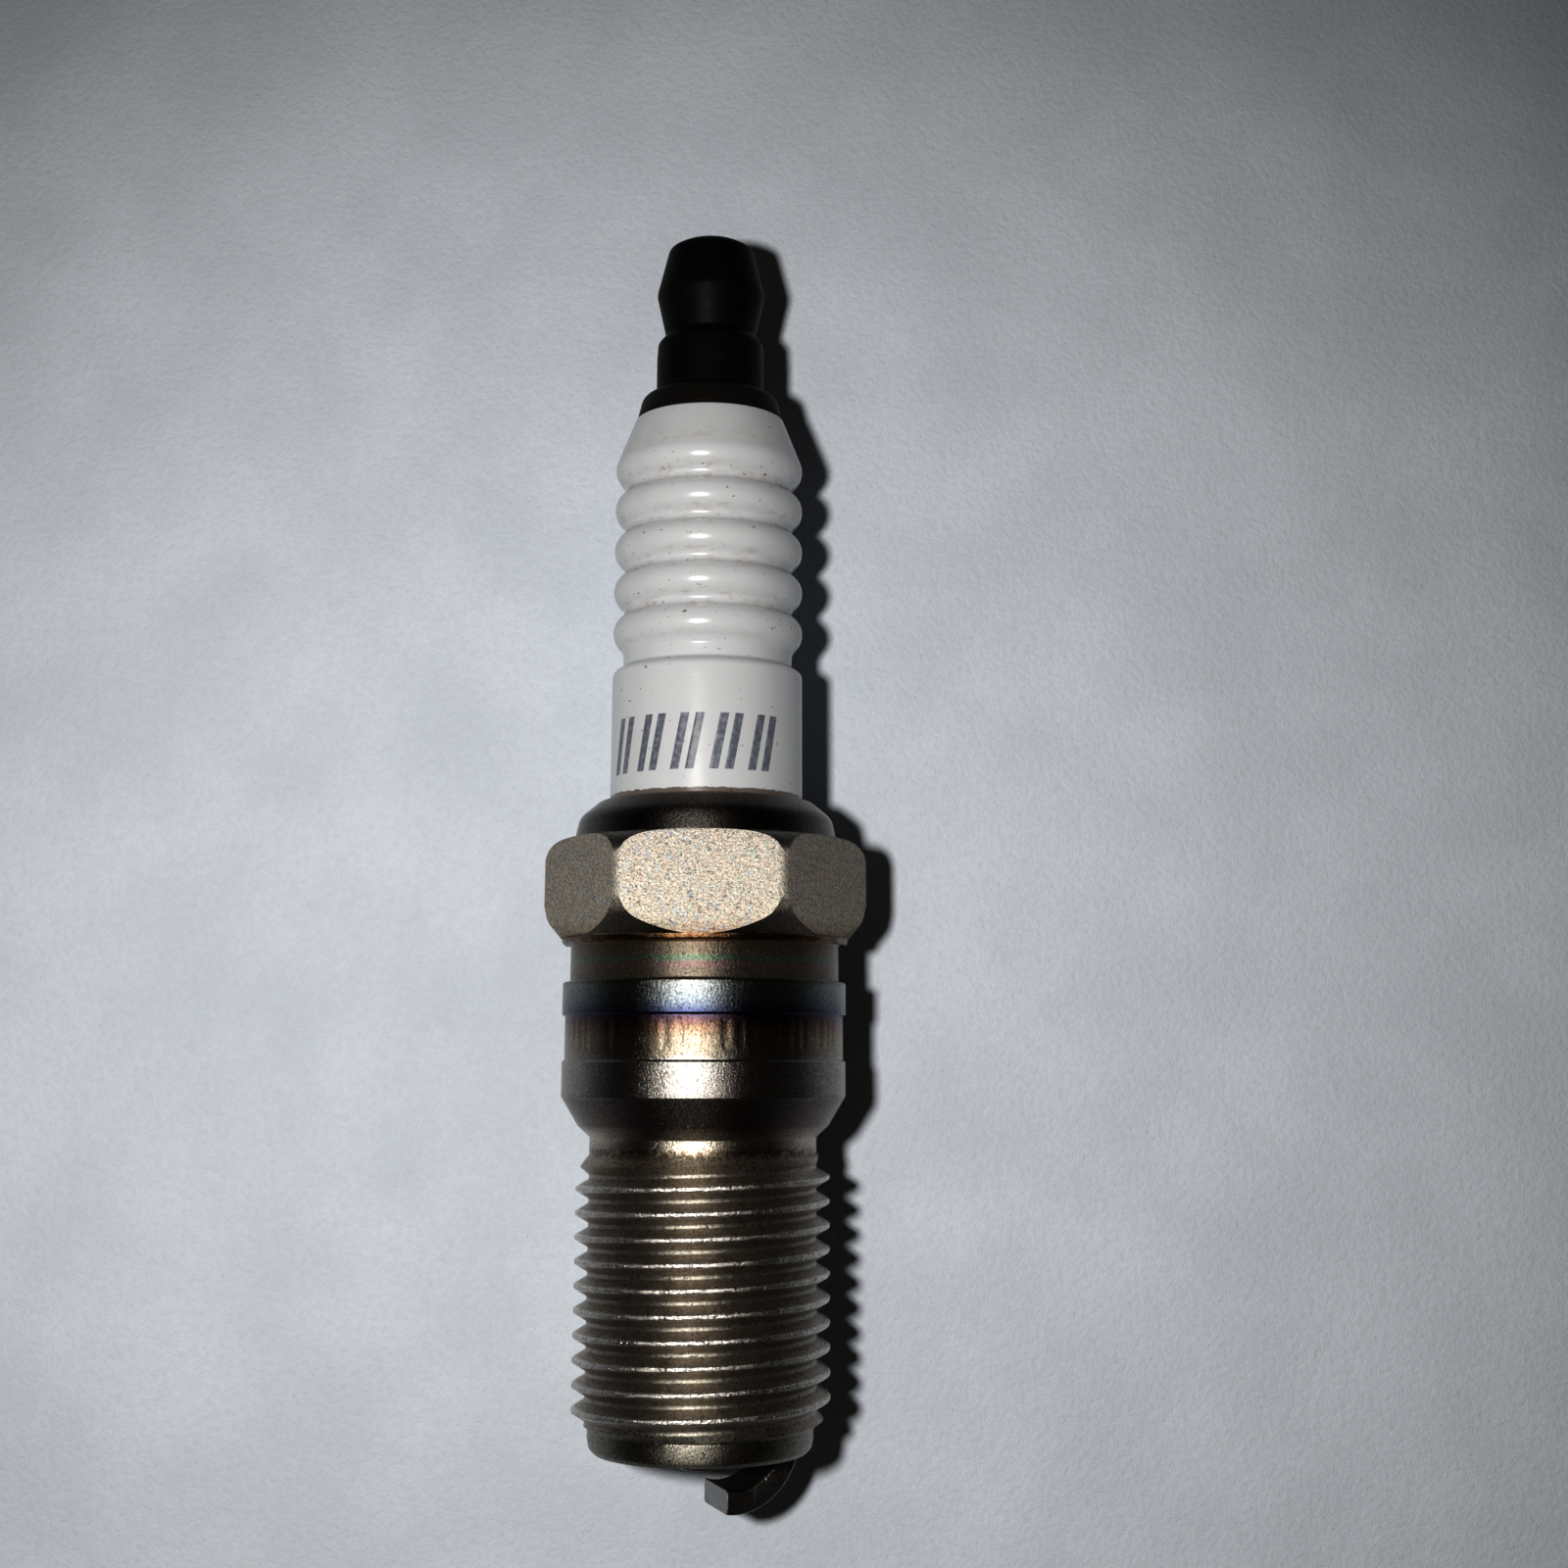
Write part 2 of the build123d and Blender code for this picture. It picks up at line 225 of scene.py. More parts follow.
def threaded_rows(pitch, crest_r, root_r, crest_flat, crest_y, top_y, bottom_y, limit, wear=0.0):
    """Rows of a right-hand thread from top_y down; limit is an outline that the thread stays inside.

    Its crests are uneven by up to about the wear.
    """
    half_crest = crest_flat / 2
    half_root = pitch / 2 - half_crest - (crest_r - root_r) * tan(radians(30))
    one_turn = rounded(
        [
            (root_r, pitch / 2),
            (root_r, pitch / 2 - half_root, 0.08 * pitch),
            (crest_r, half_crest, 0.05 * pitch),
            (crest_r, -half_crest, 0.05 * pitch),
            (root_r, half_root - pitch / 2, 0.08 * pitch),
            (root_r, -pitch / 2),
        ],
        radians(30),
    )[:-1]
    limit_y = np.array([y for r, y in limit])[::-1]
    limit_r = np.array([r for r, y in limit])[::-1]
    first = ceil((top_y - crest_y) / pitch + 0.5)
    last = floor((bottom_y - crest_y) / pitch - 0.5)
    rows = []
    for turn in range(first, last - 1, -1):
        above, here = ripple(5, turn + 1, wear), ripple(5, turn, wear)
        worn = np.abs(here + (above - here) * PHI / (2 * pi))
        for r, offset in one_turn:
            on_crest = max(0, (r - root_r) / (crest_r - root_r) - 0.8) * 5
            height = crest_y + offset + pitch * (turn + PHI / (2 * pi))
            y = np.clip(height, bottom_y, top_y)
            outermost = np.interp(y, limit_y, limit_r)
            inside = np.minimum(r - worn * on_crest, outermost)
            rows.append((np.where(height == y, inside, outermost), y))
    return rows


# ---------------------------------------------------------------- metal shell

def hexagon_radius():
    """Distance from the axis to the hexagon's side at each column, with its corners turned down."""
    turn = (PHI + pi / 6) % (pi / 3) - pi / 6
    return np.minimum(HEX_INRADIUS / np.cos(turn), HEX_CORNER_R - 1e-4)


def hexagon_rows():
    """The wrench hexagon from its top to the thin lip under it, a line down its side for each column."""
    top = rounded(
        [(COLLAR_R, HEX_TOP_Y), (HEX_CORNER_R, HEX_TOP_Y, 1.25), (HEX_CORNER_R, HEX_TOP_Y - 1.3)],
        radians(4),
    )
    bottom = rounded(
        [
            (HEX_LIP_R, HEX_BOTTOM_Y + 0.22),
            (8.82, HEX_BOTTOM_Y + 1.22, 1.5),
            (HEX_CORNER_R, HEX_BOTTOM_Y + 2.2, 1.0),
            (HEX_CORNER_R, HEX_BOTTOM_Y + 2.7),
        ],
        radians(3),
    )
    side_r = hexagon_radius()
    top_share, top_path = crossing(top, side_r)
    bottom_share, bottom_path = crossing(bottom, side_r)
    rows = []
    for share in np.linspace(0, 1, 15):
        rows.append(along(top_path, top_share * share))
    high_y = rows[-1][1]
    low_y = along(bottom_path, bottom_share)[1]
    edge = 0.05
    for share in np.linspace(0, 1, 12):
        rows.append((side_r, high_y - edge + (low_y + edge - high_y + edge) * share))
    for share in np.linspace(1, 0, 15):
        r, y = along(bottom_path, bottom_share * share)
        rows.append((np.minimum(r, side_r), y))
    return rows


def crossing(points, side_r):
    """How far along an outline each column meets its flat side, and the outline as a path."""
    path = np.array(points)
    steps = np.hypot(*np.diff(path, axis=0).T)
    length = np.concatenate([[0], np.cumsum(steps)])
    radius = np.maximum.accumulate(path[:, 0] + np.arange(len(path)) * 1e-9)
    return np.interp(side_r, radius, length), (length, path[:, 0], path[:, 1])


def along(path, distance):
    """Radius and height at that distance along a path."""
    length, radius, height = path
    return np.interp(distance, length, radius), np.interp(distance, length, height)


def ripple(count, seed, size):
    """Smooth uneven values round the plug, from -size to size."""
    return np.array([size * noise.noise(Vector((count * sin(p), count * cos(p), seed))) for p in PHI])


def band_rows():
    """Recessed band with a few plain pressed strokes."""
    step = 360 / STEPS_ROUND
    stroke = np.zeros(STEPS_ROUND)
    for group in STROKE_GROUPS:
        for place in STROKES_IN_GROUP:
            stroke[round((group + place) / step) % STEPS_ROUND] = STROKE_DEPTH
    stroke = np.append(stroke, stroke[0])
    rows = []
    for y in np.linspace(4.25, 1.95, 26):
        reach = np.clip((STROKE_HALF_LENGTH - abs(y - STROKE_MIDDLE_Y)) / 0.15, 0, 1)
        rows.append((BAND_R - stroke * reach, np.full(COLUMNS, y)))
    return rows


def shell_rows():
    """The shell all round its section: lip, hexagon, groove, rings, seat, thread, end and bore."""
    lip = rounded(
        [
            (5.65, LIP_TOP_Y - 0.75),
            (LIP_BORE_R, LIP_TOP_Y - 0.45),
            (LIP_BORE_R, LIP_TOP_Y, 0.2),
            (6.05, LIP_TOP_Y - 0.15, 0.4),
            (7.14, LIP_TOP_Y - 1.05, 1.0),
            (COLLAR_R, HEX_TOP_Y - 0.1),
            (COLLAR_R, HEX_TOP_Y),
        ]
    )
    under_hexagon = rounded(
        [
            (GROOVE_R + 0.06, HEX_BOTTOM_Y - 0.06),
            (GROOVE_R, HEX_BOTTOM_Y - 0.18, 0.1),
            (GROOVE_R, 6.1, 0.12),
            (RING_R, 6.1, 0.1),
            (RING_R, 4.35, 0.1),
            (BAND_R, 4.25),
        ]
    )
    seat = rounded(
        [
            (BAND_R, 1.95),
            (SEAT_LARGE_R, 1.85, 0.1),
            (SEAT_LARGE_R, 0, 0.05),
            (SEAT_SMALL_R, -SEAT_DEPTH, 0.15),
            (NECK_R, -2.15, 0.15),
            (NECK_R, THREAD_TOP_Y),
        ]
    )
    limit = [
        (NECK_R, THREAD_TOP_Y),
        (THREAD_CREST_R, THREAD_TOP_Y - 1.15),
        (THREAD_CREST_R, THREAD_BOTTOM_Y + 0.65),
        (PILOT_R, THREAD_BOTTOM_Y),
    ]
    end = rounded(
        [
            (PILOT_R, THREAD_BOTTOM_Y),
            (PILOT_R, SHELL_END_Y + 0.7),
            (5.93, SHELL_END_Y + 0.22, 0.3),
            (5.7, SHELL_END_Y, 0.05),
            (BORE_R + 0.12, SHELL_END_Y, 0.04),
            (BORE_R, SHELL_END_Y + 0.12),
            (BORE_R, -1.6),
            (LEDGE_R, -1.2, 0.1),
            (LEDGE_R, 0.79),
            (CHAMBER_R, 2.0),
            (CHAMBER_R, LIP_TOP_Y - 1.3),
            (5.65, LIP_TOP_Y - 0.75),
        ]
    )
    lip_r = np.minimum(HEX_LIP_R + ripple(9, 1.3, 0.05), hexagon_radius())
    lip_y = HEX_BOTTOM_Y + ripple(14, 4.1, 0.07)
    rows = turned_rows(divided(lip, 0.35)[:-1])
    rows += hexagon_rows()
    rows += [(lip_r, lip_y + 0.12), (lip_r - 0.03, lip_y), (lip_r - 0.12, lip_y - 0.06)]
    rows += turned_rows(divided(under_hexagon, 0.3)[:-1])
    rows += band_rows()
    rows += turned_rows(divided(seat, 0.3)[1:-1])
    rows += threaded_rows(
        THREAD_PITCH,
        THREAD_CREST_R,
        THREAD_ROOT_R,
        THREAD_CREST_FLAT,
        THREAD_CREST_Y,
        THREAD_TOP_Y,
        THREAD_BOTTOM_Y,
        limit,
        wear=0.09,
    )
    rows += turned_rows(divided(end, 1.0)[1:-1])
    return rows


# ---------------------------------------------------------------- insulator and its marking

def rib_points():
    """Ribbed outline, downwards: crest arcs joined by smaller groove arcs."""
    reach = RIB_CREST_RADIUS + RIB_GROOVE_RADIUS
    crest_centre_r = RIB_R - RIB_CREST_RADIUS
    groove_centre_r = crest_centre_r + sqrt(reach**2 - (RIB_PITCH / 2) ** 2)
    turn = asin(RIB_PITCH / 2 / reach)
    points = []
    for index in range(RIB_COUNT - 1, -1, -1):
        y = FIRST_RIB_Y + index * RIB_PITCH
        start = turn / 2 if index == RIB_COUNT - 1 else turn
        for share in np.linspace(1, 0, 17):
            angle = -turn + (start + turn) * share
            r = crest_centre_r + RIB_CREST_RADIUS * cos(angle)
            points.append((r, y + RIB_CREST_RADIUS * sin(angle)))
        if index == 0:
            continue
        for share in np.linspace(1, 0, 11)[1:-1]:
            angle = -turn + 2 * turn * share
            groove_y = y - RIB_PITCH / 2
            r = groove_centre_r - RIB_GROOVE_RADIUS * cos(angle)
            points.append((r, groove_y + RIB_GROOVE_RADIUS * sin(angle)))
    return points


def insulator_rows():
    """The insulator all round its section: shoulder, ribs, barrel, inner flange, nose and bore."""
    ribs = rib_points()
    above = rounded([(2.0, CERAMIC_TOP_Y), (4.34, CERAMIC_TOP_Y, 0.25), ribs[0]])
    below = rounded(
        [
            ribs[-1],
            (WIDE_GROOVE_R, WIDE_GROOVE_Y + 0.75, 0.2),
            (WIDE_GROOVE_R, WIDE_GROOVE_Y, 0.2),
            (BARREL_R, WIDE_GROOVE_Y - 0.35, 0.45),
            (BARREL_R, 10.55, 0.2),
            (6.1, 9.95, 0.2),
            (6.1, 2.29, 0.3),
            (3.9, 1.025, 0.3),
            (3.8, -1.5),
            (3.5, -4.0, 2.0),
            (2.3, -18.3, 0.3),
            (1.32, -18.3),
            (1.32, 1.0),
            (2.0, 1.65),
            (2.0, CERAMIC_TOP_Y),
        ]
    )
    return turned_rows(divided(above[:-1] + ribs + below[1:], 0.6)[:-1])


def marking():
    """Pairs of raised, slanted, plain bars on the front of the barrel, with borders under the glaze."""
    across = (0, 0.35 / 3, 1 / 3, 2 / 3, 1, 1)
    up = (0, *np.linspace(0, 1, 11), 1)
    vertices, faces = [], []
    for pair in range(BAR_PAIRS):
        for side in (0, 1):
            left = FIRST_BAR_LEFT + pair * BAR_PAIR_PITCH + side * BAR_PAIR_GAP
            base = len(vertices)
            for i, rise in enumerate(up):
                for j, share in enumerate(across):
                    border = i in (0, len(up) - 1) or j in (0, len(across) - 1)
                    r = BARREL_R + (-0.01 if border else BAR_RAISED)
                    angle = (left + BAR_WIDTH * share + BAR_SLANT * (2 * rise - 1)) / BARREL_R
                    vertices.append((r * sin(angle), BAR_BASE_Y + BAR_HEIGHT * rise, r * cos(angle)))
            for i in range(len(up) - 1):
                for j in range(len(across) - 1):
                    a = base + i * len(across) + j
                    faces.append((a, a + 1, a + len(across) + 1, a + len(across)))
    return mesh_piece("barrel_bars", vertices, faces, "plug", radians(60))


# ---------------------------------------------------------------- terminal nut and stud

def nut_rows():
    """Terminal nut from the top of its head, down its outside and up its bore."""
    bottom = NUT_BOTTOM_Y
    outline = rounded(
        [
            (0, NUT_TOP_Y),
            (1.7, NUT_TOP_Y - 0.1, 2.0),
            (2.52, bottom + 10.65, 0.5),
            (3.22, bottom + 7.78, 0.8),
            (2.66, bottom + 5.24, 0.08),
            (3.12, bottom + 4.65, 0.4),
            (3.175, bottom + 3.7, 0.6),
            (3.175, bottom + 1.68, 0.06),
            (3.98, bottom + 1.23, 0.7),
            (4.25, bottom + 0.1, 0.04),
            (4.15, bottom),
            (2.85, bottom),
            (2.85, 39.55),
            (2.03, 39.55),
            (2.03, 48.3),
            (0, 48.9),
        ]
    )
    return turned_rows(divided(outline, 0.4))


def stud_rows():
    """Terminal stud downwards: thread, collar under the nut, shank and the end in the glass."""
    top = rounded([(0, STUD_TOP_Y), (1.5, STUD_TOP_Y, 0.1), (1.57, STUD_TOP_Y - 0.05)])
    limit = [(1.57, STUD_TOP_Y - 0.05), (1.97, STUD_TOP_Y - 0.45), (1.97, 39.95), (1.6, 39.75)]
    thread = threaded_rows(
        STUD_THREAD_PITCH, 1.97, 1.6, 0.1, 44.0, STUD_TOP_Y - 0.05, 39.75, limit
    )
    rest = rounded(
        [
            (1.6, 39.75),
            (1.6, 39.45),
            (2.75, 39.45, 0.1),
            (2.75, CERAMIC_TOP_Y),
            (1.7, CERAMIC_TOP_Y),
            (1.7, 12.8),
            (1.85, 12.8),
            (1.85, 10.1),
            (1.55, 9.8),
            (0, 9.8),
        ]
    )
    return turned_rows(top) + thread + turned_rows(divided(rest, 1.5)[1:])


# ---------------------------------------------------------------- ground electrode

def strap():
    """Strap with rounded long edges, swept round its bend; both ends are cut flat, the tip with a small
    bevel.
    """
    half_w = STRAP_WIDTH / 2
    inner = STRAP_BEND_R - STRAP_THICKNESS
    edge = 0.16
    section = []
    for centre_w, centre_r, start in (
        (half_w - edge, STRAP_BEND_R - edge, 0),
        (edge - half_w, STRAP_BEND_R - edge, pi / 2),
        (edge - half_w, inner + edge, pi),
        (half_w - edge, inner + edge, 3 * pi / 2),
    ):
        for step in range(6):
            angle = start + step * pi / 10
            section.append((centre_r + edge * sin(angle), centre_w + edge * cos(angle)))
    middle = inner + STRAP_THICKNESS / 2
    centre_r, centre_y = STRAP_BEND_CENTRE
    bevel = 0.05
    stations = [(0, 0)] + [(share, 0) for share in np.linspace(0.02, 0.98, 44)]
    stations += [(1, -bevel), (1, 0)]
    vertices = []
    for number, (share, back) in enumerate(stations):
        last = number == len(stations) - 1
        for rho, across in section:
            if last:
                rho = middle + (rho - middle) * (1 - 2 * bevel / STRAP_THICKNESS)
                across *= 1 - bevel / half_w
            start = asin((centre_y - STRAP_ROOT_Y) / rho)
            finish = pi / 2 + asin((centre_r - STRAP_END_R + back) / rho)
            angle = start + (finish - start) * share
            reach = centre_r + rho * cos(angle)
            y = centre_y - rho * sin(angle) + across * STRAP_TWIST * share
            x = reach * sin(STRAP_TURN) + across * cos(STRAP_TURN)
            z = reach * cos(STRAP_TURN) - across * sin(STRAP_TURN)
            vertices.append((x, y, z))
    count = len(section)
    faces = [tuple(range(count))]
    for station in range(len(stations) - 1):
        for k in range(count):
            right = (k + 1) % count
            a, b = station * count, (station + 1) * count
            faces.append((a + k, a + right, b + right, b + k))
    faces.append(tuple(range((len(stations) - 1) * count, len(stations) * count)))
    return mesh_piece("strap", vertices, faces, "plug", radians(40))


# ---------------------------------------------------------------- materials

class Shader:
    """Builds one procedural material; positions are in millimetres in the plug's own frame."""

    def __init__(self, name):
        self.material = bpy.data.materials.new(name)
        self.material.use_nodes = True
        self.tree = self.material.node_tree
        self.bsdf = self.tree.nodes["Principled BSDF"]
        place = self.add("ShaderNodeTexCoord").outputs["Object"]
        self.place = self.scaled(place, (1 / MM, 1 / MM, 1 / MM))
        parts = self.add("ShaderNodeSeparateXYZ")
        self.link(self.place, parts.inputs[0])
        self.x, self.y, self.z = parts.outputs

    def add(self, kind):
        return self.tree.nodes.new(kind)

    def link(self, source, target):
        self.tree.links.new(source, target)

    def scaled(self, vector, factors):
        node = self.add("ShaderNodeVectorMath")
        node.operation = "MULTIPLY"
        self.link(vector, node.inputs[0])
        node.inputs[1].default_value = factors
        return node.outputs[0]

    def math(self, operation, a, b=None):
        node = self.add("ShaderNodeMath")
        node.operation = operation
        for socket, value in zip(node.inputs, (a, b)):
            if isinstance(value, (int, float)):
                socket.default_value = value
            elif value is not None:
                self.link(value, socket)
        return node.outputs[0]

    def times(self, a, b):
        return self.math("MULTIPLY", a, b)

    def plus(self, a, b):
        return self.math("ADD", a, b)

    def span(self, value, low, high, to_low=0.0, to_high=1.0):
        """Smooth step from to_low to to_high as the value goes from low to high, up or down."""
        node = self.add("ShaderNodeMapRange")
        node.interpolation_type = "SMOOTHSTEP"
        self.link(value, node.inputs["Value"])
        numbers = {"From Min": low, "From Max": high, "To Min": to_low, "To Max": to_high}
        for name, number in numbers.items():
            node.inputs[name].default_value = number
        return node.outputs[0]

    def noise(self, size, detail=3.0, stretch=(1, 1, 1), rough=0.55, w=0.0):
        """Noise whose features are about size millimetres, longer along an axis with a small stretch."""
        node = self.add("ShaderNodeTexNoise")
        node.noise_dimensions = "4D"
        self.link(self.scaled(self.place, stretch), node.inputs["Vector"])
        node.inputs["Scale"].default_value = 1 / size
        node.inputs["Detail"].default_value = detail
        node.inputs["Roughness"].default_value = rough
        node.inputs["W"].default_value = w
        return node.outputs["Fac"]

    def ramp(self, value, stops, low=0.0, high=1.0):
        """Colour by value through (value, colour) stops."""
        node = self.add("ShaderNodeValToRGB")
        self.link(self.math("DIVIDE", self.math("SUBTRACT", value, low), high - low), node.inputs[0])
        elements = node.color_ramp.elements
        while len(elements) > 1:
            elements.remove(elements[-1])
        for index, (at, colour) in enumerate(stops):
            element = elements[0] if index == 0 else elements.new((at - low) / (high - low))
            element.position = (at - low) / (high - low)
            element.color = (*colour, 1)
        return node.outputs[0]

    def mix(self, share, a, b, how="MIX"):
        node = self.add("ShaderNodeMix")
        node.data_type = "RGBA"
        node.blend_type = how
        for socket, value in ((node.inputs[0], share), (node.inputs[6], a), (node.inputs[7], b)):
            if isinstance(value, (int, float)):
                socket.default_value = value
            elif isinstance(value, tuple):
                socket.default_value = (*value, 1)
            else:
                self.link(value, socket)
        return node.outputs[2]

    def grey(self, value):
        node = self.add("ShaderNodeCombineColor")
        for socket in node.inputs[:3]:
            self.link(value, socket)
        return node.outputs[0]

    def bump(self, height, strength, distance):
        """Relief in millimetres, added to any relief already there."""
        node = self.add("ShaderNodeBump")
        node.inputs["Strength"].default_value = strength
        node.inputs["Distance"].default_value = distance * MM
        self.link(height, node.inputs["Height"])
        before = self.bsdf.inputs["Normal"].links
        if before:
            self.link(before[0].from_socket, node.inputs["Normal"])
        self.link(node.outputs[0], self.bsdf.inputs["Normal"])

    def brushed(self, lengthwise):
        """Fine turning lines round the plug, or lines along it where lengthwise is 1."""
        normal = self.add("ShaderNodeNewGeometry").outputs["Normal"]
        around = self.add("ShaderNodeVectorMath")
        around.operation = "CROSS_PRODUCT"
        around.inputs[0].default_value = (0, 1, 0)
        self.link(normal, around.inputs[1])
        down = self.add("ShaderNodeVectorMath")
        down.operation = "CROSS_PRODUCT"
        self.link(normal, down.inputs[0])
        self.link(around.outputs[0], down.inputs[1])
        spread = self.mix(lengthwise, down.outputs[0], around.outputs[0])
        self.link(spread, self.bsdf.inputs["Tangent"])

    def set(self, **values):
        for name, value in values.items():
            socket = self.bsdf.inputs[name.replace("_", " ")]
            if isinstance(value, (int, float)):
                socket.default_value = value
            elif isinstance(value, tuple):
                socket.default_value = (*value, 1) if socket.type == "RGBA" else value
            else:
                self.link(value, socket)
        return self.material


def radius_of(s):
    """Distance from the plug's axis."""
    squares = s.plus(s.times(s.x, s.x), s.times(s.z, s.z))
    return s.math("SQRT", squares)


def heat_tint(s, height):
    """Colour of the plate by height, from the shell's end up to its lip."""
    return s.ramp(
        height,
        [
            (-18.2, (0.085, 0.080, 0.072)),
            (-17.1, (0.085, 0.080, 0.072)),
            (-16.9, (0.200, 0.185, 0.160)),
            (-3.2, (0.220, 0.200, 0.165)),
            (-2.2, (0.380, 0.350, 0.290)),
            (-1.5, (0.135, 0.112, 0.100)),
            (-0.2, (0.135, 0.118, 0.108)),
            (0.15, (0.260, 0.245, 0.230)),
            (1.9, (0.260, 0.245, 0.230)),
            (2.3, (0.220, 0.195, 0.155)),
            (3.0, (0.215, 0.185, 0.145)),
            (3.6, (0.150, 0.105, 0.075)),
            (4.0, (0.085, 0.052, 0.056)),
            (4.4, (0.045, 0.055, 0.105)),
            (5.0, (0.125, 0.142, 0.155)),
            (5.8, (0.190, 0.203, 0.205)),
            (6.1, (0.092, 0.080, 0.064)),
            (6.6, (0.098, 0.081, 0.064)),
            (6.85, (0.130, 0.080, 0.082)),
            (7.0, (0.092, 0.084, 0.068)),
            (7.15, (0.062, 0.122, 0.082)),
            (7.35, (0.098, 0.086, 0.064)),
            (8.0, (0.085, 0.067, 0.048)),
            (8.2, (0.150, 0.085, 0.040)),
            (8.55, (0.160, 0.120, 0.080)),
            (9.4, (0.272, 0.260, 0.232)),
            (13.8, (0.278, 0.268, 0.250)),
            (14.0, (0.095, 0.088, 0.080)),
            (15.2, (0.080, 0.072, 0.066)),
            (16.2, (0.150, 0.138, 0.128)),
        ],
        SHELL_END_Y,
        LIP_TOP_Y,
    )


def plated_shell():
    """Nickel plate with the heat tint of the crimp groove, worn thread crests painted lighter as a
    highlight, and brushed flats.
    """
    s = Shader("nickel_plate_heat_tinted")
    radius = radius_of(s)
    wander = s.times(s.math("SUBTRACT", s.noise(2.2, 2), 0.5), 0.35)
    height = s.plus(s.y, wander)
    tint = heat_tint(s, height)
    in_thread = s.span(s.y, -2.7, -3.1)
    crest = s.span(radius, 6.65, 6.85)
    root = s.span(radius, 6.29, 6.22)
    # the crests are painted much lighter than the flanks: a painted highlight along each crest
    thread_tint_and_crest_highlight = s.mix(crest, (0.285, 0.242, 0.195), (0.62, 0.60, 0.57))
    thread_tint_and_crest_highlight = s.mix(root, thread_tint_and_crest_highlight, (0.270, 0.258, 0.225))
    colour = s.mix(s.times(in_thread, 0.85), tint, thread_tint_and_crest_highlight)
    on_flats = s.times(s.span(radius, 7.87, 7.92), s.span(s.y, 8.3, 8.6))
    in_groove = s.times(s.span(s.y, 6.08, 6.12), s.span(s.y, 8.15, 8.05))
    grain = s.noise(0.14, 3, (1, 0.09, 1), 0.65, 1.0)
    mottle = s.noise(0.34, 3, (1, 0.6, 1), 0.7, 2.0)
    rainbow = s.ramp(
        mottle,
        [
            (0.38, (0.190, 0.215, 0.265)),
            (0.46, (0.285, 0.262, 0.200)),
            (0.54, (0.295, 0.230, 0.205)),
            (0.62, (0.205, 0.240, 0.205)),
        ],
    )
    colour = s.mix(s.times(on_flats, 0.5), colour, rainbow)
    speckle = s.noise(0.09, 2, w=12.0, rough=0.6)
    shade = s.span(speckle, 0.35, 0.65, 0.62, 1.25)
    colour = s.mix(1.0, colour, s.grey(shade), "MULTIPLY")
    grime = s.span(s.noise(0.16, 4, (1, 1, 1), 0.7, 3.0), 0.55, 0.64)
    grime_where = s.plus(s.times(in_thread, 0.60), 0.18)
    colour = s.mix(s.times(grime, grime_where), colour, (0.012, 0.008, 0.005))
    near_lip = s.times(s.span(s.y, 7.95, 8.15), s.span(s.y, 8.75, 8.35))
    rust = s.times(near_lip, s.span(s.noise(0.4, 4, w=5.0), 0.40, 0.62))
    colour = s.mix(s.times(rust, 0.8), colour, (0.085, 0.038, 0.014))
    ragged = s.times(s.span(height, -2.55, -2.8), s.span(height, -3.25, -3.0))
    ragged = s.times(ragged, s.span(s.noise(0.3, 4, w=15.0), 0.38, 0.55))
    colour = s.mix(s.times(ragged, 0.75), colour, (0.075, 0.045, 0.022))
    rough = s.plus(s.times(speckle, 0.14), 0.23)
    rough = s.plus(rough, s.times(on_flats, 0.19))
    rough = s.plus(rough, s.times(in_thread, 0.08))
    rough = s.math("SUBTRACT", rough, s.times(s.times(crest, in_thread), 0.13))
    rough = s.plus(rough, s.times(grime, 0.15))
    pits = s.noise(0.11, 4, (1, 0.8, 1), 0.7, 7.0)
    turning = s.noise(0.16, 2, (0.05, 1, 0.05), 0.5, 8.0)
    flats_only = s.times(grain, on_flats)
    grooved = s.times(turning, in_groove)
    s.bump(pits, 1.0, 0.026)
    s.bump(flats_only, 0.7, 0.02)
    s.bump(grooved, 0.6, 0.03)
    battered = s.times(s.times(crest, in_thread), s.noise(0.13, 3, w=16.0, rough=0.7))
    s.bump(battered, 1.0, 0.06)
    dull = s.times(in_thread, s.math("SUBTRACT", 1.0, crest))
    dull = s.times(dull, s.span(s.y, -17.0, -16.7))
    dull = s.plus(s.times(dull, 0.10), s.times(in_groove, 0.28))
    metallic = s.math("SUBTRACT", 1.0, dull)
    s.brushed(on_flats)
    return s.set(Base_Color=colour, Metallic=metallic, Roughness=rough, Anisotropic=0.8)


